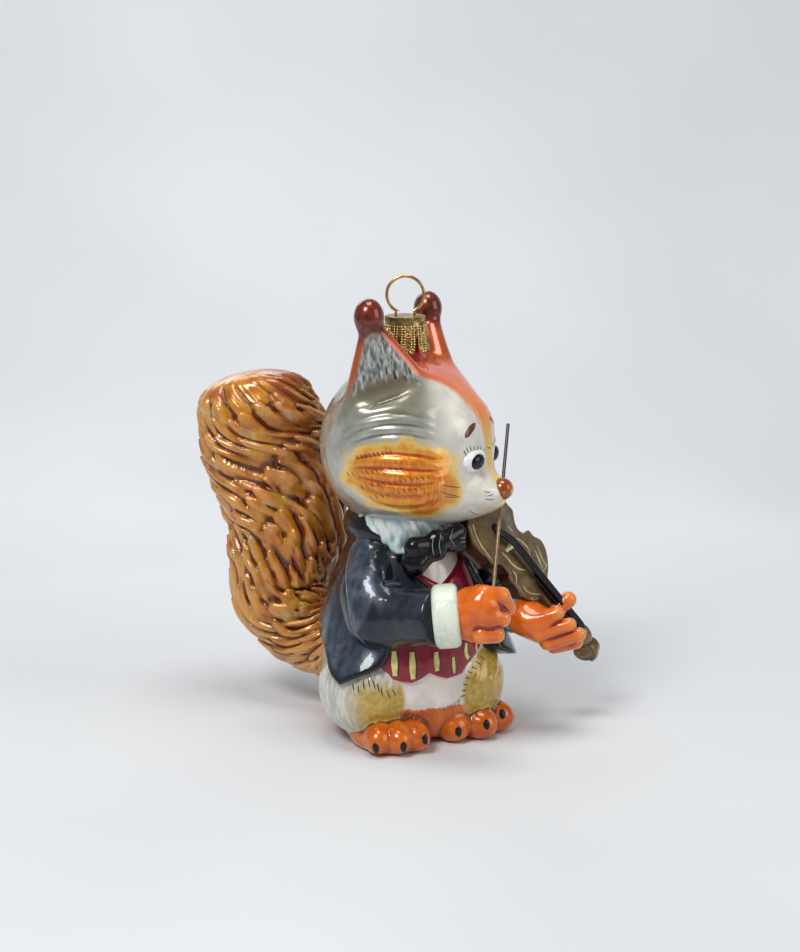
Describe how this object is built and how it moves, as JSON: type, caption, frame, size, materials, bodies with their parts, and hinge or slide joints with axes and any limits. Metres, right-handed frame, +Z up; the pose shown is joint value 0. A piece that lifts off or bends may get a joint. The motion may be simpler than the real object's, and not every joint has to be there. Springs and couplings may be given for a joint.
{
  "type": "squirrel figurine",
  "caption": "Glossy painted-glass ornament of a squirrel in a tail coat playing a violin, with a plume tail, a petal cap that turns on the neck and a wire ring to hang it by.",
  "frame": {"origin": "middle of the flat underside, on the axis of the neck and cap", "axes": "+Z up along the neck and cap, the body faces -Y, its left hand is towards +X"},
  "size_m": [0.0944, 0.1102, 0.1327],
  "materials": {
    "pearl_white": "glossy lacquer over blown glass",
    "silver_grey": "glossy lacquer over blown glass",
    "red_glass": "glossy lacquer over blown glass",
    "cream_white": "glossy lacquer over blown glass",
    "gold_brown": "glossy lacquer over blown glass",
    "eye_white": "glossy lacquer over blown glass",
    "gloss_black": "glossy lacquer over blown glass",
    "fox_red": "glossy lacquer over blown glass",
    "grey_olive": "glossy lacquer over blown glass",
    "orange": "glossy lacquer over blown glass",
    "crimson": "glossy lacquer over blown glass",
    "navy": "glossy lacquer over blown glass",
    "aqua_white": "glossy lacquer over blown glass",
    "cream_mint": "glossy lacquer over blown glass",
    "amber_brown": "glossy lacquer over blown glass",
    "bronze": "glossy lacquer over blown glass",
    "bow_brown": "painted wire",
    "gold_tin": "gold-coloured stamped tin",
    "gold_wire": "gold-coloured wire"
  },
  "bodies": {
    "figure": {"torso": "pearl_white", "head": "silver_grey", "glass_neck": "red_glass", "muzzle": "cream_white", "nose": "gold_brown", "eye_whites": "eye_white", "pupils": "gloss_black", "ear_right": "fox_red", "ear_left": "fox_red", "thigh_right": "grey_olive", "thigh_left": "grey_olive", "foot_right": "orange", "foot_left": "orange", "claws": "gloss_black", "waistcoat": "crimson", "coat": "navy", "neck_ruff": "aqua_white", "bow_tie_knot": "gloss_black", "bow_tie_wings": "gloss_black", "sleeve_right": "navy", "sleeve_left": "navy", "cuff_right": "cream_mint", "cuff_left": "cream_mint", "hand_right": "orange", "hand_left": "orange", "tail": "amber_brown", "violin_body": "bronze", "violin_neck": "bronze", "fingerboard": "gloss_black", "violin_scroll": "bronze", "violin_bridge": "cream_mint", "violin_strings": "gloss_black", "bow_stick": "bow_brown"},
    "cap": {"cap": "gold_tin"},
    "hanger": {"hanger": "gold_wire"}
  },
  "joints": [
    {"name": "cap_turn", "type": "hinge", "parent": "figure", "child": "cap", "pos_m": [0, 0, 0.115], "axis": [0, 0, 1], "continuous": true},
    {"name": "hanger_pull", "type": "slide", "parent": "cap", "child": "hanger", "axis": [0, 0, 1], "range_m": [0, 0.008]}
  ]
}
